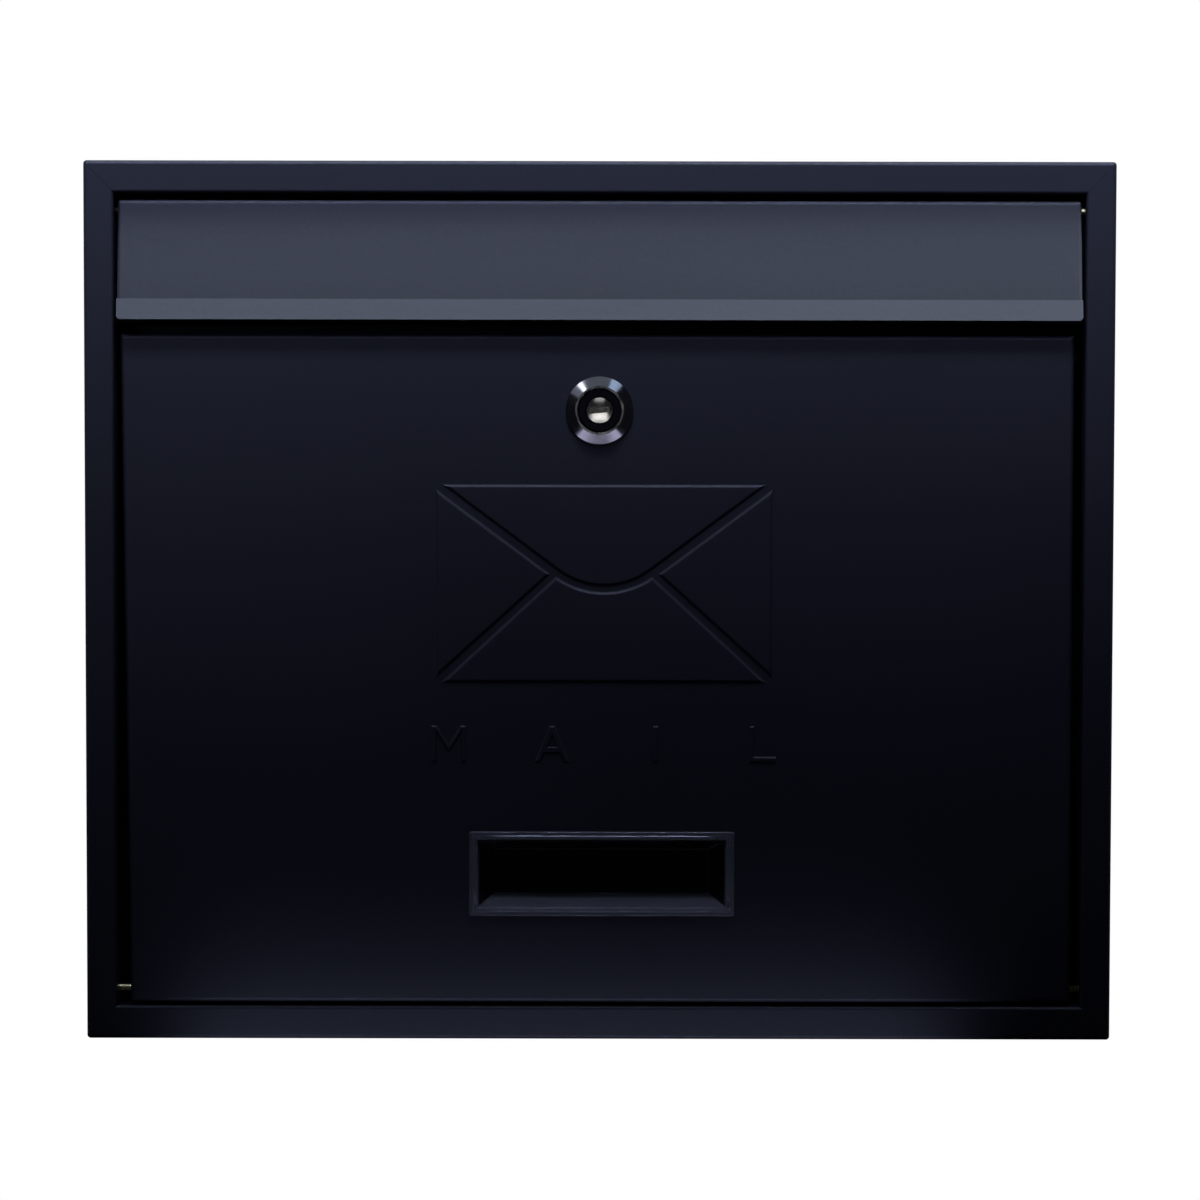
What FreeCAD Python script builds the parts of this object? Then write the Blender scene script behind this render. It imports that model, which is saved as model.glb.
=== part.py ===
import FreeCAD, Part
import Sketcher
import math
import os
import re

# Wall mounted mailbox: a folded steel casing with a top-hinged mail flap, a bottom-hinged
# door, a cam lock and a clear name window.
# Frame: millimetres, X to the right, -Y to the front, +Z up.
# The origin is on the wall plane, at the centre of the back panel.

# ------------------------------------------------------------------ driving dimensions

DIMENSIONS = [
    ("casing_width", 362.4, "outside, left to right"),
    ("casing_height", 310, "outside, bottom to top"),
    ("casing_depth", 93, "wall plane to front border"),
    ("sheet_gauge", 0.8, "steel sheet"),
    ("fold_radius", 1.5, "outside radius of a sheet fold"),
    ("edge_radius", 1.2, "outside radius of a panel's softer edges"),
    ("cut_margin", 1.0, "a cut starts and ends this far outside its solid"),
    ("corner_radius", 1.2, "outside radius of the casing's four corners"),
    ("side_border", 10.65, "front border, left and right"),
    ("top_border", 11.4, "front border, top"),
    ("bottom_border", 11.7, "front border, bottom"),
    ("return_depth", 10.0, "flange folded back round the front opening"),
    ("mitre_gap", 0.1, "slit between two borders at a corner"),
    ("mitre_stop", 0.9, "end of the slit, in from the casing's sides"),
    ("panel_flange", 12.0, "flange round the back panel"),
    ("panel_gap", 0.1, "back panel to casing"),
    ("wall_hole_radius", 3.5, "wall screw hole"),
    ("wall_hole_across", 260, "hole spacing, left to right"),
    ("wall_hole_up", 200, "hole spacing, bottom to top"),
    ("front_recess", 1.0, "door face behind the front border"),
    ("hinge_setback", 3.5, "hinge axis behind the door face"),
    ("pin_radius", 1.2, "hinge pin"),
    ("pin_head_radius", 2.2, "hinge pin head"),
    ("pin_head_length", 0.8, "hinge pin head"),
    ("pin_clearance", 0.05, "radial, pin to door or flap"),
    ("pin_seat_clearance", 0.02, "radial, pin to casing"),
    ("pin_tail", 1.2, "pin past its ring"),
    ("ring_radius", 3.0, "push-on ring"),
    ("ring_gauge", 0.5, "push-on ring"),
    ("ring_gap", 0.02, "push-on ring to casing"),
    ("pin_chamfer", 0.3, "hinge pin's tail"),
    ("pin_head_chamfer", 0.2, "hinge pin's head"),
    ("side_play", 0.15, "axial play beside a hinge flange"),
    ("door_left_top", 168.4, "door's left edge at its top, from the middle"),
    ("door_left_bottom", 165.7, "door's left edge at its bottom, from the middle"),
    ("door_right", 166.9, "door's right edge, from the middle"),
    ("door_top", 94.1, "height of the door's top edge"),
    ("door_bottom", 141.9, "door's bottom edge, below the middle"),
    ("door_flange", 12.0, "flange round the door"),
    ("door_axis_drop", 137.3, "door hinge axis, below the middle"),
    ("flap_width", 338.2, "flap between its sides"),
    ("flap_top", 141.2, "height of the flap's top edge"),
    ("flap_crease", 106.6, "height of the crease above the lip"),
    ("flap_bottom", 99.4, "height of the lip's lower edge"),
    ("flap_flange", 9.5, "depth of the flap's top flange"),
    ("flap_lean", 4.0, "crease in front of the flap's top edge"),
    ("lip_lean", 1.6, "lip's lower edge in front of the crease"),
    ("lip_overhang", 0.2, "lip past the flap's side, each side"),
    ("lip_corner", 1.5, "radius of the lip's lower corners"),
    ("flap_axis_height", 137.7, "flap hinge axis"),
    ("rail_front", 82.0, "front of the cross rail, from the wall"),
    ("rail_top", 112.0, "height of the rail's upper lip"),
    ("rail_shelf", 98.0, "height of the rail's shelf, underside"),
    ("rail_shelf_depth", 9.4, "rail's front to its lower leg"),
    ("rail_bottom", 84.0, "height of the rail's lower edge"),
    ("rail_tab", 12.0, "tab at each end of the rail"),
    ("lock_height", 67.7, "height of the lock's axis"),
    ("lock_collar_radius", 11.9, "lock's front collar"),
    ("lock_collar_edge", 0.9, "height of the collar's outer edge"),
    ("lock_collar_rise", 3.2, "collar's rim in front of the door"),
    ("lock_rim_outer", 8.6, "rim round the lock's dish, outside radius"),
    ("lock_rim_inner", 7.8, "rim round the lock's dish, inside radius"),
    ("lock_dish_depth", 1.7, "dish round the plug, below the rim"),
    ("lock_dish_radius", 7.2, "flat floor of the dish, outside radius"),
    ("lock_barrel_radius", 9.4, "barrel through the door"),
    ("lock_barrel_flat", 8.2, "barrel's two flats, from the axis"),
    ("lock_barrel_length", 20.0, "door face to the barrel's rear end"),
    ("lock_hole_gap", 0.15, "radial, barrel to the door's hole"),
    ("lock_play", 0.05, "plug to its seat, to the stop washer and to the cam"),
    ("plug_head_radius", 4.975, "plug's head"),
    ("plug_radius", 4.2, "plug's shank"),
    ("plug_clearance", 0.07, "radial, plug to barrel"),
    ("plug_head_length", 2.6, "plug's head, front to shoulder"),
    ("plug_dome", 0.5, "rise of the plug's domed front"),
    ("plug_head_chamfer", 0.5, "round the plug's front"),
    ("plug_stub_radius", 3.9, "plug's drive end"),
    ("plug_stub_flat", 3.0, "drive end's two flats, from the axis"),
    ("keyway_length", 7.0, "keyway, along the slot"),
    ("keyway_width", 1.9, "keyway, across the slot"),
    ("keyway_depth", 15.0, "keyway, front to back"),
    ("keyway_tilt", 6.0, "keyway's slope at rest, degrees"),
    ("wafer_gauge", 0.8, "lock wafer"),
    ("wafer_count", 5, "wafers in a row"),
    ("wafer_pitch", 2.0, "wafer to wafer"),
    ("wafer_radius", 4.1, "wafer's rounded ends"),
    ("wafer_flat", 2.6, "wafer's flat sides, from the axis"),
    ("wafer_slot_gap", 0.1, "slot to wafer, each side"),
    ("wafer_first", 4.6, "door face to the first wafer"),
    ("stop_radius", 9.0, "stop washer"),
    ("stop_notch_radius", 6.6, "stop washer's notch, inside radius"),
    ("stop_gauge", 0.8, "stop washer"),
    ("stop_lug_half", 10.0, "half the angle of the stop lug, degrees"),
    ("stop_lug_inner", 7.0, "stop lug, inside radius"),
    ("stop_lug_outer", 8.0, "stop lug, outside radius"),
    ("stop_turn", 90.0, "angle that the stop washer allows, degrees"),
    ("stop_slack", 1.0, "notch to lug at each end, degrees"),
    ("stop_gap", 0.1, "stop washer to barrel"),
    ("cam_gauge", 2.0, "lock cam"),
    ("cam_boss_radius", 7.5, "cam round the plug"),
    ("cam_half_width", 6.0, "cam's arm, half its width"),
    ("cam_reach", 28.0, "cam's tip, from the axis"),
    ("washer_gauge", 0.6, "cam screw's washer"),
    ("washer_radius", 4.2, "cam screw's washer"),
    ("washer_gap", 0.1, "radial, washer to the screw's shank"),
    ("screw_radius", 2.0, "cam screw's shank"),
    ("screw_length", 8.0, "cam screw's shank"),
    ("screw_chamfer", 0.4, "end of the cam screw's shank"),
    ("screw_hole_spare", 0.5, "hole past the end of the screw"),
    ("screw_head_radius", 3.6, "cam screw's head"),
    ("screw_head_length", 2.4, "cam screw's head"),
    ("screw_head_edge", 1.2, "height of the head's straight side"),
    ("screw_crown_radius", 2.5, "flat crown of the screw's head"),
    ("screw_slot_width", 0.9, "cross recess, width of one slot"),
    ("screw_slot_length", 4.2, "cross recess, length of one slot"),
    ("screw_slot_depth", 1.4, "cross recess, depth"),
    ("nut_washer_gauge", 0.8, "washer under the lock nut"),
    ("nut_washer_radius", 12.5, "washer under the lock nut"),
    ("nut_gauge", 3.5, "lock nut"),
    ("nut_half_flats", 11.5, "lock nut, half across its flats"),
    ("nut_chamfer", 0.6, "lock nut's rear edge"),
    ("thread_gap", 0.03, "nut or washer to the barrel"),
    ("window_width", 93.7, "name window's rim, left to right"),
    ("window_height", 29.9, "name window's rim, bottom to top"),
    ("window_across", 1.1, "centre of the name window, from the middle"),
    ("window_drop", 96.1, "centre of the name window, below the middle"),
    ("window_rise", 1.2, "rim in front of the door"),
    ("window_rim", 2.6, "width of the rim"),
    ("window_wall", 1.1, "plastic wall"),
    ("window_depth", 9.0, "tray behind the door face"),
    ("window_side_draft", 6.2, "tray's sides lean in by"),
    ("window_end_draft", 4.5, "tray's top and bottom lean in by"),
    ("window_gap", 0.2, "tray to the door's cut-out"),
    ("window_radius", 0.8, "rim's corners"),
    ("window_edge_radius", 0.4, "rim's front edge"),
    ("hook_width", 8.0, "snap hook"),
    ("hook_catch", 0.8, "snap hook past the tray"),
    ("hook_length", 1.6, "snap hook, front to back"),
    ("hook_root", 0.5, "snap hook into the tray's wall"),
    ("hook_gap", 0.05, "snap hook to the back of the door's sheet"),
    ("hook_across", 50.0, "hook spacing, left to right"),
    ("envelope_width", 118.6, "raised envelope"),
    ("envelope_height", 69.8, "raised envelope"),
    ("envelope_across", 1.75, "centre of the envelope, from the middle"),
    ("envelope_up", 6.6, "centre of the envelope, above the middle"),
    ("envelope_fold_angle", 36.6, "slope of the envelope's flap, degrees"),
    ("envelope_tip_radius", 28.5, "rounded tip of the envelope's flap"),
    ("envelope_groove", 2.7, "groove between two raised panels"),
    ("emboss_rise", 0.6, "raised panels, out of the door face"),
    ("emboss_slope", 53.0, "raised edges' slope, degrees"),
    ("emboss_radius", 0.8, "rounding at the crest and foot of a raised panel"),
    ("letter_height", 12.7, "raised letters"),
    ("letter_stroke", 1.9, "raised letters"),
    ("letter_width", 12.4, "widest raised letter"),
    ("letter_pitch", 36.5, "letter to letter"),
    ("letter_drop", 56.4, "foot of the letters, below the middle"),
    ("letter_rise", 0.5, "raised letters, out of the door face"),
    ("letter_slope", 40.0, "raised letters' sides, degrees"),
    ("letter_radius", 0.2, "rounding at the crest and foot of a letter"),
    ("letter_peak", 2.0, "width of a letter's pointed top"),
]

document = FreeCAD.newDocument("wall_mailbox")
sheet = document.addObject("Spreadsheet::Sheet", "dims")
for row, (alias, number, note) in enumerate(DIMENSIONS, start=1):
    sheet.set("A%d" % row, alias)
    sheet.set("B%d" % row, str(number))
    sheet.set("C%d" % row, note)
    sheet.setAlias("B%d" % row, alias)
document.recompute()

SAME_PLACE = 0.01
NEARBY = "0.1"

pieces = []

# ------------------------------------------------------------------ drawing helpers


def cells(text):
    """Point each alias in an expression at the sheet. Every alias has an underscore."""
    return re.sub(r"\b[a-z]+(?:_[a-z]+)+\b", r"dims.\g<0>", text)


def number_of(text):
    """Work out an expression now."""
    result = sheet.evalExpression(cells(text))
    return float(getattr(result, "Value", result))


def bind(item, prop, text):
    item.setExpression(prop, cells(text))


def new_body(label, x="0", y="0", z="0", turned=False):
    """Start a sub-part; turned swaps its left and right by half a turn about Z."""
    body = document.addObject("PartDesign::Body", label)
    body.Label = label
    if turned:
        body.Placement.Rotation = FreeCAD.Rotation(FreeCAD.Vector(0, 0, 1), 180)
    bind(body, "Placement.Base.x", x)
    bind(body, "Placement.Base.y", y)
    bind(body, "Placement.Base.z", z)
    pieces.append(body)
    return body


def origin_plane(body, role):
    return next(item for item in body.Origin.OriginFeatures if item.Role == role)


def new_sketch(body, role, offset="0"):
    """Start a sketch on an origin plane. XZ_Plane's offset counts towards the front."""
    sketch = body.newObject("Sketcher::SketchObject", body.Label + "_sketch")
    sketch.AttachmentSupport = (origin_plane(body, role), [""])
    sketch.MapMode = "FlatFace"
    bind(sketch, "AttachmentOffset.Base.z", offset)
    return sketch


def hold(sketch, kind, first, second, text):
    """Add one dimension that follows the sheet."""
    size = number_of(text)
    place = sketch.addConstraint(Sketcher.Constraint(kind, first, second, size))
    bind(sketch, "Constraints[%d]" % place, text)


def outline(sketch, corners, arcs=None):
    """Close a loop through the corners. arcs gives some edges a centre and the
    direction in which that centre is held: {edge: (x, y, "x" or "y")}."""
    arcs = arcs or {}
    at = [FreeCAD.Vector(number_of(x), number_of(y), 0) for x, y in corners]
    count = len(corners)
    ends = []
    for edge in range(count):
        start, finish = at[edge], at[(edge + 1) % count]
        if edge not in arcs:
            ends.append((sketch.addGeometry(Part.LineSegment(start, finish)), 1, 2))
            continue
        x, y, held = arcs[edge]
        centre = FreeCAD.Vector(number_of(x), number_of(y), 0)
        turn = (start - centre).cross(finish - centre).z
        first, last = (start, finish) if turn >= 0 else (finish, start)
        angles = [math.atan2(p.y - centre.y, p.x - centre.x) for p in (first, last)]
        circle = Part.Circle(centre, FreeCAD.Vector(0, 0, 1), (start - centre).Length)
        arc = sketch.addGeometry(Part.ArcOfCircle(circle, angles[0], angles[1]))
        ends.append((arc, 1, 2) if turn >= 0 else (arc, 2, 1))
        kind, text = ("DistanceX", x) if held == "x" else ("DistanceY", y)
        hold(sketch, kind, arc, 3, text)
    for edge in range(count):
        this, following = ends[edge], ends[(edge + 1) % count]
        sketch.addConstraint(
            Sketcher.Constraint("Coincident", this[0], this[2], following[0], following[1]))
    for (x, y), (geometry, start, _) in zip(corners, ends):
        hold(sketch, "DistanceX", geometry, start, x)
        hold(sketch, "DistanceY", geometry, start, y)


def rectangle(sketch, left, right, low, high):
    outline(sketch, [(left, low), (right, low), (right, high), (left, high)])


def circle(sketch, x, y, radius):
    centre = FreeCAD.Vector(number_of(x), number_of(y), 0)
    round_edge = Part.Circle(centre, FreeCAD.Vector(0, 0, 1), number_of(radius))
    place = sketch.addGeometry(round_edge)
    hold(sketch, "DistanceX", place, 3, x)
    hold(sketch, "DistanceY", place, 3, y)
    size = sketch.addConstraint(Sketcher.Constraint("Radius", place, number_of(radius)))
    bind(sketch, "Constraints[%d]" % size, radius)


def double_d(sketch, radius, flat, height="0", upright=False):
    """A circle with two flats: above and below its centre, or beside it if upright."""
    reach = "sqrt((%s)^2 - (%s)^2)" % (radius, flat)
    half_x, half_z = (flat, reach) if upright else (reach, flat)
    left, right = "-(%s)" % half_x, half_x
    low, high = "%s - (%s)" % (height, half_z), "%s + %s" % (height, half_z)
    if upright:
        corners = [(right, high), (left, high), (left, low), (right, low)]
    else:
        corners = [(right, low), (right, high), (left, high), (left, low)]
    held = "y" if upright else "x"
    outline(sketch, corners, {0: ("0", height, held), 2: ("0", height, held)})


def sector(sketch, inner, outer, first, last):
    """A piece of a ring about the origin, from one angle to another."""
    def spot(radius, angle):
        return "(%s) * cos(%s)" % (radius, angle), "(%s) * sin(%s)" % (radius, angle)
    corners = [spot(inner, first), spot(outer, first), spot(outer, last), spot(inner, last)]
    outline(sketch, corners, {1: ("0", "0", "x"), 3: ("0", "0", "x")})


# ------------------------------------------------------------------ feature helpers


def finish(body, feature):
    """Recompute a feature, check that it worked and make it the body's tip."""
    body.Tip = feature
    document.recompute()
    if feature.Shape.isNull() or not feature.Shape.isValid():
        raise RuntimeError("%s: %s failed" % (body.Label, feature.Name))
    return feature


def volume_of(body):
    return body.Tip.Shape.Volume if body.Tip else 0.0


def add(body, sketch, length, backwards=False, centred=False, taper=None):
    """Pad a sketch, along its plane's normal unless backwards."""
    before = volume_of(body)
    pad = body.newObject("PartDesign::Pad", body.Label + "_pad")
    pad.Profile = sketch
    pad.Reversed = backwards
    pad.Midplane = centred
    bind(pad, "Length", length)
    if taper:
        bind(pad, "TaperAngle", taper)
    finish(body, pad)
    if pad.Shape.Volume <= before:
        raise RuntimeError("%s: a pad added nothing" % body.Label)
    return pad


def cut(body, sketch, length, forwards=False, centred=False, taper=None):
    """Pocket a sketch, against its plane's normal unless forwards."""
    before = volume_of(body)
    pocket = body.newObject("PartDesign::Pocket", body.Label + "_pocket")
    pocket.Profile = sketch
    pocket.Reversed = forwards
    pocket.Midplane = centred
    bind(pocket, "Length", length)
    if taper:
        bind(pocket, "TaperAngle", taper)
    finish(body, pocket)
    if pocket.Shape.Volume >= before:
        raise RuntimeError("%s: a pocket cut nothing" % body.Label)
    return pocket


def turn(body, sketch, axis):
    """Revolve a sketch a full turn about one of its own axes."""
    spun = body.newObject("PartDesign::Revolution", body.Label + "_turned")
    spun.Profile = sketch
    spun.ReferenceAxis = (sketch, [axis])
    spun.Angle = 360
    return finish(body, spun)


def loft(body, kind, near, far):
    """Join two sketches, as new material or as a hollow."""
    before = volume_of(body)
    shape = body.newObject("PartDesign::" + kind, body.Label + "_loft")
    shape.Profile = near
    shape.Sections = [far]
    shape.Ruled = True
    finish(body, shape)
    grew = shape.Shape.Volume > before
    if grew != (kind == "AdditiveLoft"):
        raise RuntimeError("%s: a loft went the wrong way" % body.Label)
    return shape


def mirror(body, features, role="YZ_Plane"):
    image = body.newObject("PartDesign::Mirrored", body.Label + "_mirror")
    image.Originals = features
    image.MirrorPlane = (origin_plane(body, role), [""])
    return finish(body, image)


def repeat(body, features, role, spacing, count):
    """Copy features in a row along one of the body's own axes."""
    row = body.newObject("PartDesign::LinearPattern", body.Label + "_row")
    row.Originals = features
    row.Direction = (origin_plane(body, role), [""])
    bind(row, "Occurrences", count)
    bind(row, "Length", "%s * (%s - 1)" % (spacing, count))
    return finish(body, row)


def soften(body, radius, wanted, kind="PartDesign::Fillet", prop="Radius"):
    """Round, or chamfer, the edges of the tip that wanted() picks."""
    base = body.Tip
    names = ["Edge%d" % place for place, edge in enumerate(base.Shape.Edges, start=1)
             if wanted(edge)]
    if not names:
        raise RuntimeError("%s: no edge to soften" % body.Label)
    soft = body.newObject(kind, body.Label + "_soft")
    soft.Base = (base, names)
    bind(soft, prop, radius)
    return finish(body, soft)


def lies_at(edge, **places):
    """True if the whole edge lies at the given x, y or z."""
    box = edge.BoundBox
    spans = {"x": (box.XMin, box.XMax), "y": (box.YMin, box.YMax), "z": (box.ZMin, box.ZMax)}
    return all(abs(end - number_of(text)) < SAME_PLACE
               for axis, text in places.items() for end in spans[axis])


def runs_along(edge, axis):
    box = edge.BoundBox
    sizes = {"x": box.XLength, "y": box.YLength, "z": box.ZLength}
    along = sizes.pop(axis)
    return along > SAME_PLACE > max(sizes.values())


# ------------------------------------------------------------------ shared places

HALF_WIDTH = "(casing_width / 2)"
HALF_HEIGHT = "(casing_height / 2)"
OPENING_HALF = "(casing_width / 2 - side_border)"
OPENING_TOP = "(casing_height / 2 - top_border)"
OPENING_BOTTOM = "(bottom_border - casing_height / 2)"
DOOR_FACE = "(casing_depth - front_recess)"
HINGE_DEPTH = "(casing_depth - front_recess - hinge_setback)"
INNER_HALF = "(casing_width / 2 - sheet_gauge)"


# ------------------------------------------------------------------ casing


def make_casing_wrap():
    """Four folded sides with a mitred front border and a flange turned back round
    the front opening."""
    body = new_body("casing_wrap")
    outside = new_sketch(body, "XZ_Plane")
    rectangle(outside, "-" + HALF_WIDTH, HALF_WIDTH, "-" + HALF_HEIGHT, HALF_HEIGHT)
    add(body, outside, "casing_depth")
    soften(body, "corner_radius", lambda edge: runs_along(edge, "y"))
    soften(body, "fold_radius", lambda edge: lies_at(edge, y="-casing_depth"))

    inside = new_sketch(body, "XZ_Plane", "-cut_margin")
    rectangle(inside, "-" + INNER_HALF, INNER_HALF,
              "sheet_gauge - " + HALF_HEIGHT, HALF_HEIGHT + " - sheet_gauge")
    cut(body, inside, "casing_depth - sheet_gauge + cut_margin", forwards=True)

    flange = new_sketch(body, "XZ_Plane", "casing_depth - return_depth")
    rectangle(flange, "-%s - sheet_gauge" % OPENING_HALF, OPENING_HALF + " + sheet_gauge",
              OPENING_BOTTOM + " - sheet_gauge", OPENING_TOP + " + sheet_gauge")
    add(body, flange, "return_depth - sheet_gauge / 2")

    opening = new_sketch(body, "XZ_Plane", "casing_depth + cut_margin")
    rectangle(opening, "-" + OPENING_HALF, OPENING_HALF, OPENING_BOTTOM, OPENING_TOP)
    cut(body, opening, "return_depth + 2 * cut_margin")

    def opening_edge(edge):
        box = edge.BoundBox
        inside_border = max(box.XMax, -box.XMin) < number_of(OPENING_HALF + " + " + NEARBY)
        return lies_at(edge, y="-casing_depth") and inside_border

    soften(body, "edge_radius", opening_edge)

    for x_side in (-1, 1):
        for z_side, z_opening in ((1, OPENING_TOP), (-1, OPENING_BOTTOM)):
            cut_mitre(body, x_side, z_side, z_opening)

    holes = new_sketch(body, "YZ_Plane")
    for height in ("flap_axis_height", "-door_axis_drop"):
        circle(holes, "-" + HINGE_DEPTH, height, "pin_radius + pin_seat_clearance")
    cut(body, holes, "2 * (%s + 2 * sheet_gauge)" % OPENING_HALF, centred=True)


def cut_mitre(body, x_side, z_side, z_opening):
    """A narrow slit from the opening's corner almost to the casing's corner."""
    outer_x = "%d * (%s - mitre_stop)" % (x_side, HALF_WIDTH)
    outer_z = "%d * (%s - mitre_stop)" % (z_side, HALF_HEIGHT)
    inner_x = "%d * (%s - cut_margin)" % (x_side, OPENING_HALF)
    inner_z = "%s - %d * cut_margin" % (z_opening, z_side)
    sketch = new_sketch(body, "XZ_Plane", "casing_depth + cut_margin")
    outline(sketch, [(outer_x + " - mitre_gap / 2", outer_z),
                     (outer_x + " + mitre_gap / 2", outer_z),
                     (inner_x + " + mitre_gap / 2", inner_z),
                     (inner_x + " - mitre_gap / 2", inner_z)])
    cut(body, sketch, "return_depth + 2 * cut_margin")


def make_back_panel():
    """A shallow pan inside the casing's rear, with four holes for the wall screws."""
    body = new_body("back_panel")
    half_x = "(%s - panel_gap)" % INNER_HALF
    half_z = "(%s - sheet_gauge - panel_gap)" % HALF_HEIGHT
    outside = new_sketch(body, "XZ_Plane")
    rectangle(outside, "-" + half_x, half_x, "-" + half_z, half_z)
    add(body, outside, "panel_flange")
    soften(body, "corner_radius", lambda edge: runs_along(edge, "y"))
    soften(body, "fold_radius", lambda edge: lies_at(edge, y="0"))

    inside = new_sketch(body, "XZ_Plane", "panel_flange + cut_margin")
    rectangle(inside, "sheet_gauge - " + half_x, half_x + " - sheet_gauge",
              "sheet_gauge - " + half_z, half_z + " - sheet_gauge")
    cut(body, inside, "panel_flange + cut_margin - sheet_gauge")

    holes = new_sketch(body, "XZ_Plane", "sheet_gauge + cut_margin")
    for x_side in ("", "-"):
        for z_side in ("", "-"):
            circle(holes, x_side + "wall_hole_across / 2", z_side + "wall_hole_up / 2",
                   "wall_hole_radius")
    cut(body, holes, "sheet_gauge + 2 * cut_margin")


def make_cross_rail():
    """A Z-shaped rail between the flap and the door: the flap rests against its upper
    lip, and the lock's cam turns up behind its lower leg."""
    body = new_body("cross_rail")
    front = "-rail_front"
    leg = "(rail_shelf_depth - rail_front)"
    half = "(%s - panel_gap)" % INNER_HALF
    section = new_sketch(body, "YZ_Plane")
    outline(section, [(front, "rail_top"), (front, "rail_shelf"), (leg, "rail_shelf"),
                      (leg, "rail_bottom"), (leg + " + sheet_gauge", "rail_bottom"),
                      (leg + " + sheet_gauge", "rail_shelf + sheet_gauge"),
                      (front + " + sheet_gauge", "rail_shelf + sheet_gauge"),
                      (front + " + sheet_gauge", "rail_top")])
    add(body, section, "2 * " + half, centred=True)
    for depth, height in ((front, "rail_shelf"),
                          (leg + " + sheet_gauge", "rail_shelf + sheet_gauge")):
        soften(body, "fold_radius", lambda edge: lies_at(edge, y=depth, z=height))
    for depth, height in ((leg, "rail_shelf"),
                          (front + " + sheet_gauge", "rail_shelf + sheet_gauge")):
        soften(body, "fold_radius - sheet_gauge",
               lambda edge: lies_at(edge, y=depth, z=height))

    tab = new_sketch(body, "YZ_Plane", half + " - sheet_gauge")
    rectangle(tab, leg, leg + " + rail_tab", "rail_bottom", "rail_shelf - fold_radius")
    mirror(body, [add(body, tab, "sheet_gauge")])


# ------------------------------------------------------------------ flap


def make_flap_panel():
    """The mail flap: a leaning face with a top flange and two side flanges, and a lip
    that kicks out along its lower edge."""
    body = new_body("flap_panel")
    half = "(flap_width / 2)"
    face_top = "-" + DOOR_FACE
    face_foot = "(-%s - flap_lean)" % DOOR_FACE
    rear = "(flap_flange - %s)" % DOOR_FACE
    lean = "atan(flap_lean / (flap_top - flap_crease))"
    skin = "sheet_gauge / cos(%s)" % lean

    wedge = new_sketch(body, "YZ_Plane")
    outline(wedge, [(rear, "flap_top"), (face_top, "flap_top"),
                    (face_foot, "flap_crease"), (rear, "flap_crease")])
    add(body, wedge, "flap_width", centred=True)
    soften(body, "fold_radius", lambda edge: lies_at(edge, y=face_top, z="flap_top"))

    def face_side(edge):
        box = edge.BoundBox
        outside = min(abs(box.XMin), abs(box.XMax)) > number_of(half + " - " + NEARBY)
        in_front = box.YMax < number_of(face_top + " + fold_radius")
        tall = box.ZLength > number_of("flap_top - flap_crease - 2 * fold_radius")
        return outside and in_front and tall

    soften(body, "edge_radius", face_side)

    hollow = new_sketch(body, "YZ_Plane")
    top_inside = "flap_top - sheet_gauge"
    outline(hollow, [(rear + " + cut_margin", top_inside),
                     ("%s + %s - sheet_gauge * tan(%s)" % (face_top, skin, lean), top_inside),
                     ("%s + %s - cut_margin * tan(%s)" % (face_foot, skin, lean),
                      "flap_crease - cut_margin"),
                     (rear + " + cut_margin", "flap_crease - cut_margin")])
    cut(body, hollow, "flap_width - 2 * sheet_gauge", centred=True)

    lip_skin = "sheet_gauge / cos(atan(lip_lean / (flap_crease - flap_bottom)))"
    lip = new_sketch(body, "YZ_Plane")
    outline(lip, [(face_foot, "flap_crease"),
                  (face_foot + " - lip_lean", "flap_bottom"),
                  (face_foot + " - lip_lean + " + lip_skin, "flap_bottom"),
                  (face_foot + " + " + lip_skin, "flap_crease")])
    add(body, lip, "flap_width + 2 * lip_overhang", centred=True)

    def lip_end(edge):
        box = edge.BoundBox
        outside = min(abs(box.XMin), abs(box.XMax)) > number_of(half + " + " + NEARBY)
        return outside and box.XLength < SAME_PLACE and lies_at(edge, z="flap_bottom")

    soften(body, "lip_corner", lip_end)

    holes = new_sketch(body, "YZ_Plane")
    circle(holes, "-" + HINGE_DEPTH, "flap_axis_height", "pin_radius + pin_clearance")
    cut(body, holes, "flap_width + 2 * cut_margin", centred=True)


# ------------------------------------------------------------------ door


def door_outline(sketch, inset):
    """The door's face; its left edge runs in a little towards the bottom."""
    outline(sketch, [("%s - door_left_bottom" % inset, "%s - door_bottom" % inset),
                     ("door_right - %s" % inset, "%s - door_bottom" % inset),
                     ("door_right - %s" % inset, "door_top - %s" % inset),
                     ("%s - door_left_top" % inset, "door_top - %s" % inset)])


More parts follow.
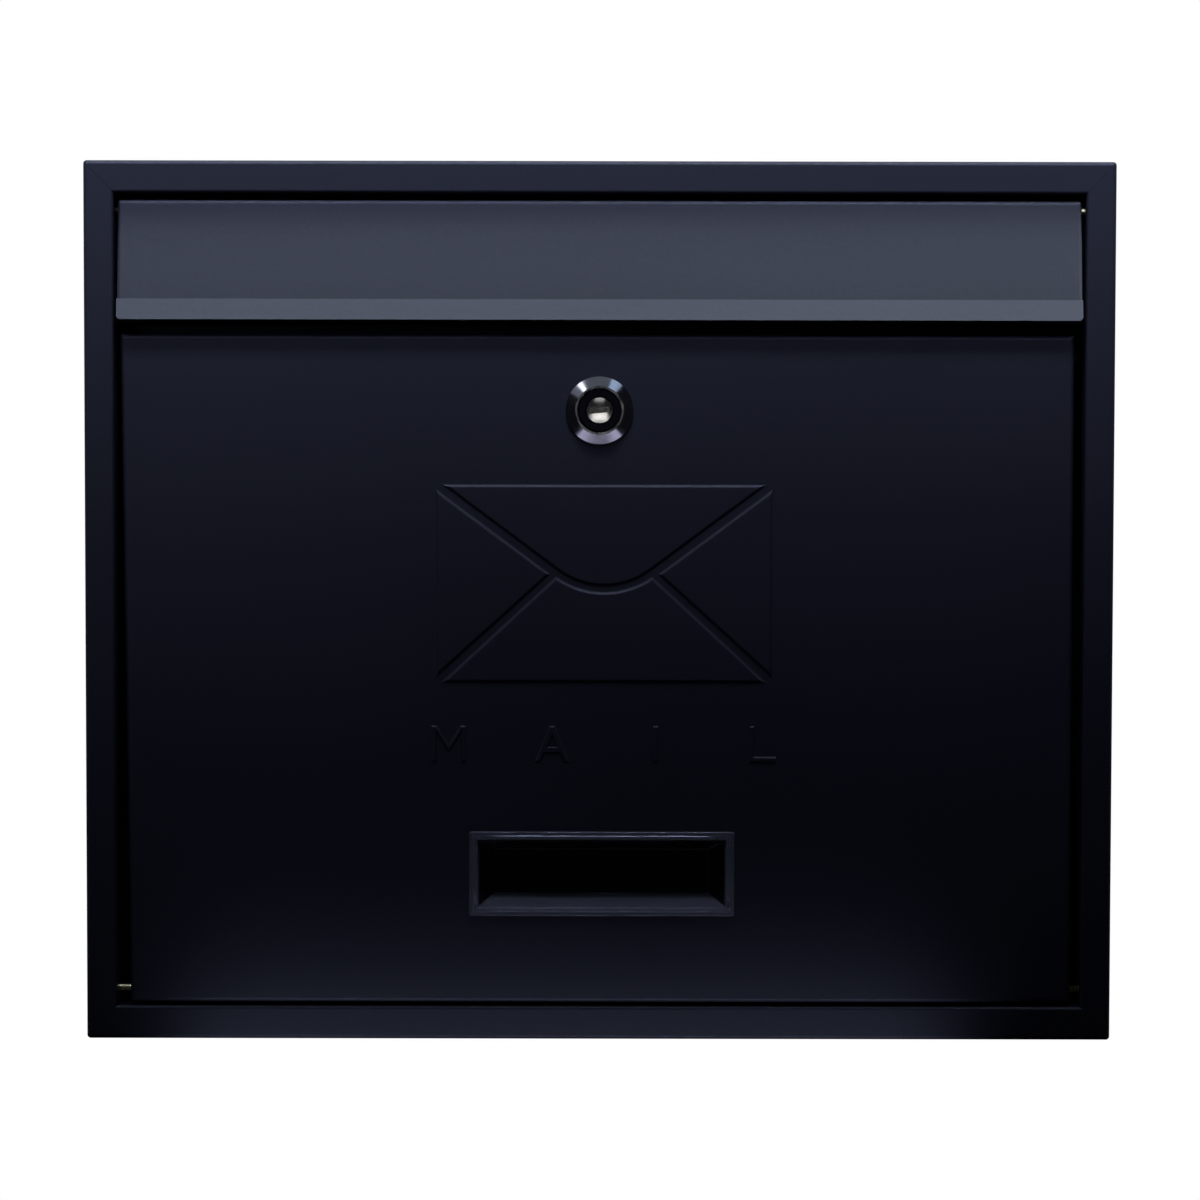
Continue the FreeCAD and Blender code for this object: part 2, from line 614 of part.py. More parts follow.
def make_door_panel():
    """The front door: a pan with flanges all round, a raised envelope and letters, and
    openings for the lock and the name window."""
    body = new_body("door_panel")
    face = new_sketch(body, "XZ_Plane", DOOR_FACE)
    door_outline(face, "0")
    add(body, face, "door_flange", backwards=True)
    soften(body, "fold_radius", lambda edge: lies_at(edge, y="-" + DOOR_FACE))

    hollow = new_sketch(body, "XZ_Plane", DOOR_FACE + " - door_flange - cut_margin")
    door_outline(hollow, "sheet_gauge")
    cut(body, hollow, "door_flange + cut_margin - sheet_gauge", forwards=True)

    holes = new_sketch(body, "YZ_Plane")
    circle(holes, "-" + HINGE_DEPTH, "-door_axis_drop", "pin_radius + pin_clearance")
    cut(body, holes, "2 * " + OPENING_HALF, centred=True)

    raised = new_sketch(body, "XZ_Plane", DOOR_FACE)
    draw_envelope(raised)
    add(body, raised, "emboss_rise", taper="-emboss_slope")
    pressed = new_sketch(body, "XZ_Plane", DOOR_FACE + " - sheet_gauge")
    draw_envelope(pressed)
    cut(body, pressed, "emboss_rise", forwards=True, taper="-emboss_slope")
    round_pressing(body, "emboss_rise", "emboss_radius", "envelope_up",
                   "envelope_height / 2 + emboss_rise")

    letters = new_sketch(body, "XZ_Plane", DOOR_FACE)
    draw_letters(letters)
    add(body, letters, "letter_rise", taper="-letter_slope")
    round_pressing(body, "letter_rise", "letter_radius", "letter_height / 2 - letter_drop",
                   "letter_height / 2 + letter_rise")

    lock_hole = new_sketch(body, "XZ_Plane", DOOR_FACE + " + cut_margin")
    double_d(lock_hole, "lock_barrel_radius + lock_hole_gap", "lock_barrel_flat + lock_hole_gap",
             "lock_height", upright=True)
    cut(body, lock_hole, "sheet_gauge + 2 * cut_margin")

    cut_out = new_sketch(body, "XZ_Plane", DOOR_FACE + " + cut_margin")
    half_x = "(window_width / 2 - window_rim + window_wall + window_gap)"
    half_z = "(window_height / 2 - window_rim + window_wall + window_gap)"
    rectangle(cut_out, "window_across - " + half_x, "window_across + " + half_x,
              "-window_drop - " + half_z, half_z + " - window_drop")
    cut(body, cut_out, "sheet_gauge + 2 * cut_margin")


def round_pressing(body, rise, radius, height, reach):
    """Round the crest, then the foot, of the raised shapes within reach of a height."""
    low = number_of("%s - (%s) - %s" % (height, reach, NEARBY))
    high = number_of("%s + (%s) + %s" % (height, reach, NEARBY))
    half = number_of("door_right - 2 * fold_radius")
    for depth in ("-%s - %s" % (DOOR_FACE, rise), "-" + DOOR_FACE):
        def pressed_edge(edge):
            box = edge.BoundBox
            inside = low < box.ZMin and box.ZMax < high and max(box.XMax, -box.XMin) < half
            return inside and lies_at(edge, y=depth)

        soften(body, radius, pressed_edge)


def draw_envelope(sketch):
    """Four raised panels with narrow grooves between them, in the shape of the back of
    an envelope: a flap with a rounded tip, two sides and the bottom."""
    across, up = "envelope_across", "envelope_up"
    half_x, half_z = "(envelope_width / 2)", "(envelope_height / 2)"
    gap = "(envelope_groove / 2)"
    fold = "envelope_fold_angle"
    point = "(%s - %s * tan(%s))" % (half_z, half_x, fold)
    centre = "(%s + %s + envelope_tip_radius / cos(%s))" % (up, point, fold)
    join_x = "(envelope_tip_radius * sin(%s))" % fold
    join_z = "(%s + %s * tan(%s))" % (point, join_x, fold)
    lower = "atan((%s + %s) / (%s - %s))" % (join_z, half_z, half_x, join_x)

    near = "(envelope_tip_radius - %s)" % gap
    tip_x = "%s * sin(%s)" % (near, fold)
    tip_z = "%s - %s * cos(%s)" % (centre, near, fold)
    top_x = "(%s - %s / sin(%s))" % (half_x, gap, fold)
    outline(sketch, [("%s - %s" % (across, top_x), "%s + %s" % (up, half_z)),
                     ("%s - %s" % (across, tip_x), tip_z),
                     ("%s + %s" % (across, tip_x), tip_z),
                     ("%s + %s" % (across, top_x), "%s + %s" % (up, half_z))],
            {1: (across, centre, "y")})

    far = "(envelope_tip_radius + %s)" % gap
    foot_x = "(%s - %s / sin(%s))" % (half_x, gap, lower)
    shoulder_z = "%s - %s * cos(%s)" % (centre, far, fold)
    outline(sketch, [("%s - %s" % (across, foot_x), "%s - %s" % (up, half_z)),
                     ("%s + %s" % (across, foot_x), "%s - %s" % (up, half_z)),
                     ("%s + %s" % (across, join_x), shoulder_z),
                     ("%s - %s" % (across, join_x), shoulder_z)],
            {2: (across, centre, "y")})

    back = "(%s * (1 / cos(%s) + 1 / cos(%s)) / (tan(%s) + tan(%s)))" % (
        gap, fold, lower, fold, lower)
    side_tip_z = "%s + %s + %s * tan(%s) - %s / cos(%s)" % (up, join_z, back, fold, gap, fold)
    for side in ("-", "+"):
        edge = "%s %s %s" % (across, side, half_x)
        outline(sketch, [(edge, "%s + %s - %s / cos(%s)" % (up, half_z, gap, fold)),
                         (edge, "%s - %s + %s / cos(%s)" % (up, half_z, gap, lower)),
                         ("%s %s (%s + %s)" % (across, side, join_x, back), side_tip_z)])


def draw_letters(sketch):
    """The word MAIL in plain straight strokes, widely spaced."""
    wide, tall, stroke = "letter_width", "letter_height", "letter_stroke"

    def letter(column, shift, corners):
        left = "envelope_across + (%s) * letter_pitch - letter_width / 2 + %s" % (column, shift)
        outline(sketch, [("%s + %s" % (left, x), "%s - letter_drop" % y) for x, y in corners])

    inner, cleft, shoulder = "0.25 * " + tall, "0.48 * " + tall, "0.8 * " + tall
    letter("-1.5", "0", [
        ("0", "0"), ("0", tall), ("letter_peak", tall), (wide + " / 2", cleft),
        (wide + " - letter_peak", tall), (wide, tall), (wide, "0"),
        (wide + " - " + stroke, "0"), (wide + " - " + stroke, shoulder),
        (wide + " / 2", inner), (stroke, shoulder), (stroke, "0")])

    run = "((%s - letter_peak) / (2 * %s))" % (wide, tall)
    foot = "(%s * sqrt(1 + %s^2))" % (stroke, run)
    bar, over = "(0.24 * %s)" % tall, "(0.24 * %s + %s)" % (tall, stroke)
    letter("-0.5", "0", [
        ("0", "0"), ("(%s - letter_peak) / 2" % wide, tall),
        ("(%s + letter_peak) / 2" % wide, tall), (wide, "0"),
        (wide + " - " + foot, "0"), ("%s - %s - %s * %s" % (wide, foot, bar, run), bar),
        ("%s + %s * %s" % (foot, bar, run), bar), (foot, "0")])
    letter("-0.5", "0", [
        ("%s + %s * %s" % (foot, over, run), over),
        ("%s - %s - %s * %s" % (wide, foot, over, run), over),
        (wide + " / 2", "(%s / 2 - %s) / %s" % (wide, foot, run))])

    letter("0.5", "(%s - %s) / 2" % (wide, stroke), [
        ("0", "0"), ("0", tall), (stroke, tall), (stroke, "0")])

    arm = "0.78 * " + wide
    letter("1.5", "%s - %s" % (wide, arm), [
        ("0", "0"), ("0", tall), (stroke, tall), (stroke, stroke), (arm, stroke), (arm, "0")])


# ------------------------------------------------------------------ name window


def make_name_window():
    """A clear moulding: a rim on the door's face, a tray that narrows to a flat pane,
    and snap hooks behind the sheet."""
    body = new_body("name_window", "window_across", "0", "-window_drop")
    half_x, half_z = "(window_width / 2)", "(window_height / 2)"
    rim = new_sketch(body, "XZ_Plane", DOOR_FACE)
    rectangle(rim, "-" + half_x, half_x, "-" + half_z, half_z)
    add(body, rim, "window_rise")
    soften(body, "window_radius", lambda edge: runs_along(edge, "y"))
    soften(body, "window_edge_radius",
           lambda edge: lies_at(edge, y="-%s - window_rise" % DOOR_FACE))

    def section(depth, rim_inset, lean):
        sketch = new_sketch(body, "XZ_Plane", depth)
        x = "(%s - window_rim + %s - %s * window_side_draft)" % (half_x, rim_inset, lean)
        z = "(%s - window_rim + %s - %s * window_end_draft)" % (half_z, rim_inset, lean)
        rectangle(sketch, "-" + x, x, "-" + z, z)
        return sketch

    rear = DOOR_FACE + " - window_depth"
    collar = section(DOOR_FACE, "window_wall", "0")
    add(body, collar, "sheet_gauge + hook_length", backwards=True)
    loft(body, "AdditiveLoft",
         section(DOOR_FACE + " - sheet_gauge - hook_length", "window_wall", "0"),
         section(rear, "window_wall", "1"))
    loft(body, "SubtractiveLoft", section(DOOR_FACE + " + window_rise", "0", "0"),
         section(rear + " + window_wall", "0", "1"))

    hooks = new_sketch(body, "XZ_Plane", DOOR_FACE + " - sheet_gauge - hook_gap")
    wall = "(%s - window_rim + window_wall)" % half_z
    for side in (-1, 1):
        left = "%d * hook_across / 2 - hook_width / 2" % side
        rectangle(hooks, left, left + " + hook_width", wall + " - hook_root",
                  wall + " + hook_catch")
    mirror(body, [add(body, hooks, "hook_length", backwards=True)], "XY_Plane")


# ------------------------------------------------------------------ lock


def lock_piece(label):
    return new_body(label, "0", "0", "lock_height")


BARREL_END = "(%s - lock_barrel_length)" % DOOR_FACE
CAM_FRONT = "(%s - stop_gap - stop_gauge)" % BARREL_END
CAM_REAR = "(%s - cam_gauge)" % CAM_FRONT
DISH_FLOOR = "(%s + lock_collar_rise - lock_dish_depth)" % DOOR_FACE


def make_lock_body():
    """The lock's housing: a bevelled collar with a dish round the plug, and a barrel
    with two flats through the door."""
    body = lock_piece("lock_body")
    bore = "(plug_radius + plug_clearance)"
    mouth = "(plug_head_radius + plug_clearance)"
    shoulder = "-(%s - plug_head_length)" % DISH_FLOOR
    rim = "-(%s + lock_collar_rise)" % DOOR_FACE
    profile = new_sketch(body, "XY_Plane")
    outline(profile, [(bore, "-" + BARREL_END), ("lock_barrel_radius", "-" + BARREL_END),
                      ("lock_barrel_radius", "-" + DOOR_FACE),
                      ("lock_collar_radius", "-" + DOOR_FACE),
                      ("lock_collar_radius", "-(%s + lock_collar_edge)" % DOOR_FACE),
                      ("lock_rim_outer", rim), ("lock_rim_inner", rim),
                      ("lock_dish_radius", "-" + DISH_FLOOR), (mouth, "-" + DISH_FLOOR),
                      (mouth, shoulder), (bore, shoulder)])
    turn(body, profile, "V_Axis")

    flats = new_sketch(body, "XZ_Plane", BARREL_END + " - cut_margin")
    for side in (-1, 1):
        rectangle(flats, "%d * lock_barrel_flat" % side, "%d * lock_collar_radius" % side,
                  "-lock_collar_radius", "lock_collar_radius")
    cut(body, flats, "lock_barrel_length + cut_margin", forwards=True)

    lug = new_sketch(body, "XZ_Plane", BARREL_END)
    sector(lug, "stop_lug_inner", "stop_lug_outer", "-stop_lug_half", "stop_lug_half")
    add(body, lug, "stop_gauge", backwards=True)


def make_lock_plug():
    """The plug that the key turns: a domed head with a keyway, a shank with slots for
    the wafers, and a drive end with a hole for the cam screw."""
    body = lock_piece("lock_plug")
    face = "-" + DISH_FLOOR
    shoulder = "-(%s - plug_head_length)" % DISH_FLOOR
    stub_end = "-(%s + lock_play)" % CAM_REAR
    dome_edge = "(plug_head_radius - plug_head_chamfer)"
    dome_radius = "((%s^2 + plug_dome^2) / (2 * plug_dome))" % dome_edge
    profile = new_sketch(body, "XY_Plane")
    outline(profile, [("0", stub_end), ("plug_stub_radius", stub_end),
                      ("plug_stub_radius", "-(%s)" % BARREL_END),
                      ("plug_radius", "-(%s)" % BARREL_END),
                      ("plug_radius", shoulder + " - lock_play"),
                      ("plug_head_radius", shoulder + " - lock_play"),
                      ("plug_head_radius", face + " + plug_head_chamfer"), (dome_edge, face),
                      ("0", face + " - plug_dome")],
            {7: ("0", "%s - plug_dome + %s" % (face, dome_radius), "x")})
    turn(body, profile, "V_Axis")

    flats = new_sketch(body, "XZ_Plane", CAM_REAR + " - cut_margin")
    for side in (-1, 1):
        rectangle(flats, "-plug_radius", "plug_radius",
                  "%d * plug_stub_flat" % side, "%d * plug_head_radius" % side)
    cut(body, flats, "%s - %s + cut_margin" % (BARREL_END, CAM_REAR), forwards=True)

    keyway = new_sketch(body, "XZ_Plane", DISH_FLOOR + " + cut_margin")
    bind(keyway, "AttachmentOffset.Rotation.Angle", "keyway_tilt")
    rectangle(keyway, "-keyway_length / 2", "keyway_length / 2",
              "-keyway_width / 2", "keyway_width / 2")
    cut(body, keyway, "keyway_depth + cut_margin")

    slot = new_sketch(body, "XZ_Plane", DOOR_FACE + " - wafer_first + wafer_slot_gap")
    side = "(wafer_flat + wafer_slot_gap)"
    rectangle(slot, "-plug_head_radius", "plug_head_radius", "-" + side, side)
    first = cut(body, slot, "wafer_gauge + 2 * wafer_slot_gap")
    repeat(body, [first], "Y_Axis", "wafer_pitch", "wafer_count")

    thread = new_sketch(body, "XZ_Plane", CAM_REAR + " - cut_margin")
    circle(thread, "0", "0", "screw_radius + thread_gap")
    cut(body, thread, "screw_length + screw_hole_spare + cut_margin", forwards=True)


def make_lock_wafers():
    """The wafers that the key lifts, drawn in line with the plug as with the key in."""
    body = lock_piece("lock_wafers")
    body.AllowCompound = True
    sketch = new_sketch(body, "XZ_Plane", DOOR_FACE + " - wafer_first")
    double_d(sketch, "wafer_radius", "wafer_flat")
    rectangle(sketch, "-keyway_length / 2", "keyway_length / 2",
              "-keyway_width", "keyway_width")
    first = add(body, sketch, "wafer_gauge", backwards=True)
    repeat(body, [first], "Y_Axis", "wafer_pitch", "wafer_count")


def make_stop_washer():
    """The washer whose notch, against the barrel's lug, allows a quarter turn."""
    body = lock_piece("lock_stop_washer")
    sketch = new_sketch(body, "XZ_Plane", CAM_FRONT)
    circle(sketch, "0", "0", "stop_radius")
    double_d(sketch, "plug_stub_radius + lock_play", "plug_stub_flat + lock_play")
    add(body, sketch, "stop_gauge")
    notch = new_sketch(body, "XZ_Plane", CAM_FRONT + " - cut_margin")
    sector(notch, "stop_notch_radius", "stop_radius + cut_margin",
           "-stop_lug_half - stop_slack", "stop_lug_half + stop_slack + stop_turn")
    cut(body, notch, "stop_gauge + 2 * cut_margin", forwards=True)


def make_lock_cam():
    """The flat arm that turns up behind the cross rail."""
    body = lock_piece("lock_cam")
    arm = new_sketch(body, "XZ_Plane", CAM_FRONT)
    rectangle(arm, "-cam_reach", "0", "-cam_half_width", "cam_half_width")
    add(body, arm, "cam_gauge", backwards=True)
    soften(body, "cam_half_width / 2",
           lambda edge: runs_along(edge, "y") and lies_at(edge, x="-cam_reach"))
    boss = new_sketch(body, "XZ_Plane", CAM_FRONT)
    circle(boss, "0", "0", "cam_boss_radius")
    add(body, boss, "cam_gauge", backwards=True)
    hole = new_sketch(body, "XZ_Plane", CAM_FRONT + " + cut_margin")
    double_d(hole, "plug_stub_radius + lock_play", "plug_stub_flat + lock_play")
    cut(body, hole, "cam_gauge + 2 * cut_margin")


def make_washer(label, front, gauge, outer, inner):
    """A flat washer about the lock's axis."""
    body = lock_piece(label)
    sketch = new_sketch(body, "XZ_Plane", front)
    circle(sketch, "0", "0", outer)
    circle(sketch, "0", "0", inner)
    add(body, sketch, gauge, backwards=True)


def make_cam_screw():
    """A round-headed screw with a cross recess that holds the cam on the plug."""
    body = lock_piece("lock_cam_screw")
    seat = "-(%s - washer_gauge)" % CAM_REAR
    profile = new_sketch(body, "XY_Plane")
    outline(profile, [("0", "%s - screw_length" % seat),
                      ("screw_radius - screw_chamfer", "%s - screw_length" % seat),
                      ("screw_radius", "%s - screw_length + screw_chamfer" % seat),
                      ("screw_radius", seat), ("screw_head_radius", seat),
                      ("screw_head_radius", seat + " + screw_head_edge"),
                      ("screw_crown_radius", seat + " + screw_head_length"),
                      ("0", seat + " + screw_head_length")])
    turn(body, profile, "V_Axis")
    top = "%s - washer_gauge - screw_head_length - cut_margin" % CAM_REAR
    for length, width in (("screw_slot_length", "screw_slot_width"),
                          ("screw_slot_width", "screw_slot_length")):
        recess = new_sketch(body, "XZ_Plane", top)
        rectangle(recess, "-%s / 2" % length, length + " / 2",
                  "-%s / 2" % width, width + " / 2")
        cut(body, recess, "screw_slot_depth + cut_margin", forwards=True)


def make_lock_nut():
    """The hexagon nut that clamps the lock to the door."""
    body = lock_piece("lock_nut")
    front = DOOR_FACE + " - sheet_gauge - nut_washer_gauge"
    sketch = new_sketch(body, "XZ_Plane", front)
    reach = "nut_half_flats / cos(30)"
    corners = [("%s * cos(%d)" % (reach, angle), "%s * sin(%d)" % (reach, angle))
               for angle in range(0, 360, 60)]
    outline(sketch, corners)
    circle(sketch, "0", "0", "lock_barrel_radius + thread_gap")
    add(body, sketch, "nut_gauge", backwards=True)

    def rear_corner(edge):
        straight = edge.Length < number_of(reach + " + " + NEARBY)
        return straight and lies_at(edge, y="nut_gauge - (%s)" % front)

    soften(body, "nut_chamfer", rear_corner, "PartDesign::Chamfer", "Size")


def make_lock():
    make_lock_body()
    make_lock_plug()
    make_lock_wafers()
    make_stop_washer()
    make_lock_cam()
    make_washer("lock_cam_washer", CAM_REAR, "washer_gauge", "washer_radius",
                "screw_radius + washer_gap")
    make_cam_screw()
    make_washer("lock_nut_washer", DOOR_FACE + " - sheet_gauge", "nut_washer_gauge",
                "nut_washer_radius", "lock_barrel_radius + thread_gap")
    make_lock_nut()


# ------------------------------------------------------------------ hinge pins


def make_hinge_pin(label, left, flange, height):
    """A headed pin from inside the door or flap, out through the casing's flange.
    flange is how far the moving flange's outer face is from the middle."""
    seat = "(%s - sheet_gauge - side_play)" % flange
    length = "(%s + 2 * sheet_gauge + ring_gauge + pin_tail - %s)" % (OPENING_HALF, seat)
    side = "-" if left else ""
    body = new_body(label, side + seat, "-" + HINGE_DEPTH, height, turned=left)
    profile = new_sketch(body, "XZ_Plane")
    outline(profile, [("-pin_head_length", "0"), 
                      ("-pin_head_length", "pin_head_radius - pin_head_chamfer"),
                      ("pin_head_chamfer - pin_head_length", "pin_head_radius"),
                      ("0", "pin_head_radius"), ("0", "pin_radius"),
                      (length + " - pin_chamfer", "pin_radius"),
                      (length, "pin_radius - pin_chamfer"), (length, "0")])
    turn(body, profile, "H_Axis")


def make_pin_rings():
    """Four push-on rings that hold the pins, in the hollow behind the side borders."""
    body = new_body("pin_rings")
    body.AllowCompound = True
    sketch = new_sketch(body, "YZ_Plane", OPENING_HALF + " + sheet_gauge + ring_gap")
    for height in ("flap_axis_height", "-door_axis_drop"):
        circle(sketch, "-" + HINGE_DEPTH, height, "ring_radius")
        circle(sketch, "-" + HINGE_DEPTH, height, "pin_radius + pin_seat_clearance")
    mirror(body, [add(body, sketch, "ring_gauge")])


def make_pins():
    for left, name in ((True, "left"), (False, "right")):
        door_side = "door_left_bottom" if left else "door_right"
        make_hinge_pin("door_pin_" + name, left, door_side, "-door_axis_drop")
        make_hinge_pin("flap_pin_" + name, left, "flap_width / 2", "flap_axis_height")
    make_pin_rings()


# ------------------------------------------------------------------ build and write


make_casing_wrap()
make_back_panel()
make_cross_rail()
make_flap_panel()
make_door_panel()
make_name_window()
make_lock()
make_pins()
document.recompute()

for item in document.Objects:
    if "Invalid" in item.State or "Error" in item.State:
        raise RuntimeError("%s did not compute" % item.Name)
os.makedirs("parts", exist_ok=True)
for piece in pieces:
    shape = piece.Shape
    if shape.isNull() or not shape.isValid():
        raise RuntimeError("%s has no valid shape" % piece.Label)
    shape.exportStep("parts/%s.step" % piece.Label)
    print("%-18s solids %d  volume %10.1f" % (piece.Label, len(shape.Solids), shape.Volume))
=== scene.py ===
import math

import bpy
from mathutils import Matrix, Vector

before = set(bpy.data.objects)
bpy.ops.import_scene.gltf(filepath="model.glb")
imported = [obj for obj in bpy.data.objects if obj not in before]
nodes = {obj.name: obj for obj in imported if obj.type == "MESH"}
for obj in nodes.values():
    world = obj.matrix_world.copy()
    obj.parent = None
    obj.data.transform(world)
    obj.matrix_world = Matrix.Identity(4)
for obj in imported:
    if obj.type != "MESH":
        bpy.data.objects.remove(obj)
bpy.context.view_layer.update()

# A steel wall mailbox: powder coated casing, flap and door, a chromed cam lock,
# yellow hinge pins and a clear name window. Metres, -Y to the front, +Z up.

MM = 0.001
FRONT = -93 * MM  # the casing's front face
LOCK_HEIGHT = 67.7 * MM

# ------------------------------------------------------------------ material helpers


class Shader:
    """Builds one node material around a Principled shader."""

    def __init__(self, name):
        self.material = bpy.data.materials.new(name)
        self.material.use_nodes = True
        self.tree = self.material.node_tree
        self.surface = self.tree.nodes["Principled BSDF"]
        coordinates = self.tree.nodes.new("ShaderNodeTexCoord")
        self.place = coordinates.outputs["Object"]
        self.facing = coordinates.outputs["Normal"]

    def link(self, source, target):
        self.tree.links.new(source, target)

    def put(self, socket, value):
        """Set a socket of any node to a number or colour, or link it to an output."""
        if isinstance(value, bpy.types.NodeSocket):
            self.link(value, socket)
        else:
            socket.default_value = value

    def set(self, **values):
        """Set the Principled shader's own sockets: base_color=..., roughness=..."""
        for name, value in values.items():
            title = name.replace("_", " ").title().replace("Ior", "IOR")
            self.put(self.surface.inputs[title], value)

    def stretch(self, scale, turn=(0, 0, 0), shift=(0, 0, 0)):
        """The piece's own coordinates in metres, moved, turned and stretched."""
        node = self.tree.nodes.new("ShaderNodeMapping")
        node.inputs["Location"].default_value = shift
        node.inputs["Rotation"].default_value = turn
        node.inputs["Scale"].default_value = scale
        self.link(self.place, node.inputs["Vector"])
        return node.outputs["Vector"]

    def parts(self, place):
        """The three coordinates of a place."""
        node = self.tree.nodes.new("ShaderNodeSeparateXYZ")
        self.link(place, node.inputs[0])
        return node.outputs

    def noise(self, scale, detail=2.0, rough=0.5, place=None):
        node = self.tree.nodes.new("ShaderNodeTexNoise")
        node.inputs["Scale"].default_value = scale
        node.inputs["Detail"].default_value = detail
        node.inputs["Roughness"].default_value = rough
        self.link(place or self.place, node.inputs["Vector"])
        return node.outputs["Fac"]

    def cells(self, scale, place=None):
        node = self.tree.nodes.new("ShaderNodeTexVoronoi")
        node.inputs["Scale"].default_value = scale
        self.link(place or self.place, node.inputs["Vector"])
        return node.outputs["Color"]

    def rings(self, scale, place, distortion):
        node = self.tree.nodes.new("ShaderNodeTexWave")
        node.wave_type = "RINGS"
        node.rings_direction = "Y"
        node.inputs["Scale"].default_value = scale
        node.inputs["Distortion"].default_value = distortion
        self.link(place, node.inputs["Vector"])
        return node.outputs["Fac"]

    def spread(self, value, low, high, start=0.3, end=0.7):
        """Map a value from start..end to low..high."""
        node = self.tree.nodes.new("ShaderNodeMapRange")
        node.inputs["From Min"].default_value = start
        node.inputs["From Max"].default_value = end
        node.inputs["To Min"].default_value = low
        node.inputs["To Max"].default_value = high
        self.link(value, node.inputs["Value"])
        return node.outputs["Result"]

    def sum(self, first, second, operation="ADD"):
        node = self.tree.nodes.new("ShaderNodeMath")
        node.operation = operation
        self.put(node.inputs[0], first)
        self.put(node.inputs[1], second)
        return node.outputs["Value"]

    def blend(self, share, first, second):
        node = self.tree.nodes.new("ShaderNodeMix")
        node.data_type = "RGBA"
        self.put(node.inputs["Factor"], share)
        self.put(node.inputs[6], first)
        self.put(node.inputs[7], second)
        return node.outputs[2]

    def bump(self, height, distance, strength=1.0, under=None):
        """Relief from a height, in metres of rise for a height of one."""
        node = self.tree.nodes.new("ShaderNodeBump")
        node.inputs["Strength"].default_value = strength
        node.inputs["Distance"].default_value = distance
        self.link(height, node.inputs["Height"])
        if under is not None:
            self.link(under, node.inputs["Normal"])
        return node.outputs["Normal"]

    def edges(self, radius):
        """How far the surface bends within a radius: 0 on flats, up to 1 on edges."""
        bevel = self.tree.nodes.new("ShaderNodeBevel")
        bevel.samples = 4
        bevel.inputs["Radius"].default_value = radius
        normal = self.tree.nodes.new("ShaderNodeNewGeometry").outputs["Normal"]
        dot = self.tree.nodes.new("ShaderNodeVectorMath")
        dot.operation = "DOT_PRODUCT"
        self.link(bevel.outputs["Normal"], dot.inputs[0])
        self.link(normal, dot.inputs[1])
        return self.spread(dot.outputs["Value"], 1.0, 0.0, 0.90, 0.995)


# ------------------------------------------------------------------ materials


def powder_coat(name, base, rub, roughness, shift):
    """Satin powder coating on steel: fine orange peel, speckle, cloudy thickness and
    edges that are rubbed a little brighter and smoother."""
    s = Shader(name)
    place = s.stretch((1, 1, 1), shift=shift)
    cloud = s.noise(9, 3, 0.55, place)
    grain = s.noise(1500, 2, 0.6, place)
    peel = s.noise(420, 1.5, 0.45, place)
    speck = s.cells(1100, place=place)
    edge = s.sum(s.edges(0.9 * MM), s.spread(s.noise(160, 4, 0.7, place), 0, 1, 0.42, 0.62),
                 "MULTIPLY")
    tint = s.blend(s.spread(cloud, 0, 1), tuple(0.86 * c for c in base) + (1,),
                   tuple(1.14 * c for c in base) + (1,))
    tint = s.blend(s.spread(speck, 0, 0.35, 0.2, 0.9), tint,
                   tuple(1.5 * c for c in base) + (1,))
    tint = s.blend(s.sum(edge, 0.5, "MULTIPLY"), tint, rub + (1,))
    gloss = s.sum(s.spread(cloud, -0.03, 0.03), s.spread(grain, -0.05, 0.05))
    gloss = s.sum(gloss, s.sum(edge, -0.12, "MULTIPLY"))
    fine = s.bump(grain, 0.012 * MM, 0.9)
    s.set(base_color=tint, roughness=s.sum(gloss, roughness),
          normal=s.bump(peel, 0.035 * MM, 0.9, fine))
    return s.material


def chrome():
    """Bright plating with faint hairlines and a haze of handling marks. Round the plug the
    plating is painted near black, as painted shade, and is duller there."""
    s = Shader("chrome_plate")
    place = s.stretch((1, 1, 1), shift=(0, 0, -LOCK_HEIGHT))
    haze = s.noise(260, 4, 0.6, place)
    lines = s.rings(900, place, 1.5)
    scuff = s.noise(2600, 2, 0.6, s.stretch((1, 0.2, 0.3), (0.3, 0.2, 0.5)))
    across, _, up = s.parts(place)
    away = s.sum(s.sum(across, across, "MULTIPLY"), s.sum(up, up, "MULTIPLY"))
    dish_radius, plate_radius = 7.25 * MM, 7.4 * MM
    # Painted shade: inside this radius round the plug the plating's colour is painted near black and
    # made rougher.
    dish_painted_shade = s.spread(away, 1.0, 0.0, dish_radius ** 2, plate_radius ** 2)
    plate = s.blend(s.spread(haze, 0, 1), (0.60, 0.61, 0.65, 1), (0.74, 0.75, 0.78, 1))
    gloss = s.sum(s.spread(haze, 0.08, 0.15), s.spread(scuff, 0, 0.05))
    s.set(metallic=1.0, base_color=s.blend(dish_painted_shade, plate, (0.008, 0.008, 0.014, 1)),
          roughness=s.sum(gloss, s.sum(dish_painted_shade, 0.15, "MULTIPLY")),
          normal=s.bump(lines, 0.0008 * MM, 0.5))
    return s.material


def plug_metal():
    """Nickel-plated plug face with turning marks and worn edges to the keyway."""
    s = Shader("nickel_plug")
    place = s.stretch((1, 1, 1), shift=(0, 0, -LOCK_HEIGHT))
    lines = s.rings(1300, place, 0.8)
    haze = s.noise(420, 4, 0.6, place)
    worn = s.edges(0.35 * MM)
    base = s.blend(s.spread(haze, 0, 1), (0.60, 0.58, 0.55, 1), (0.78, 0.77, 0.75, 1))
    s.set(metallic=1.0,
          base_color=s.blend(s.sum(worn, 0.4, "MULTIPLY"), base, (0.80, 0.72, 0.52, 1)),
          roughness=s.sum(s.spread(haze, 0.12, 0.24), s.sum(worn, -0.04, "MULTIPLY")),
          normal=s.bump(lines, 0.0015 * MM, 0.6))
    return s.material


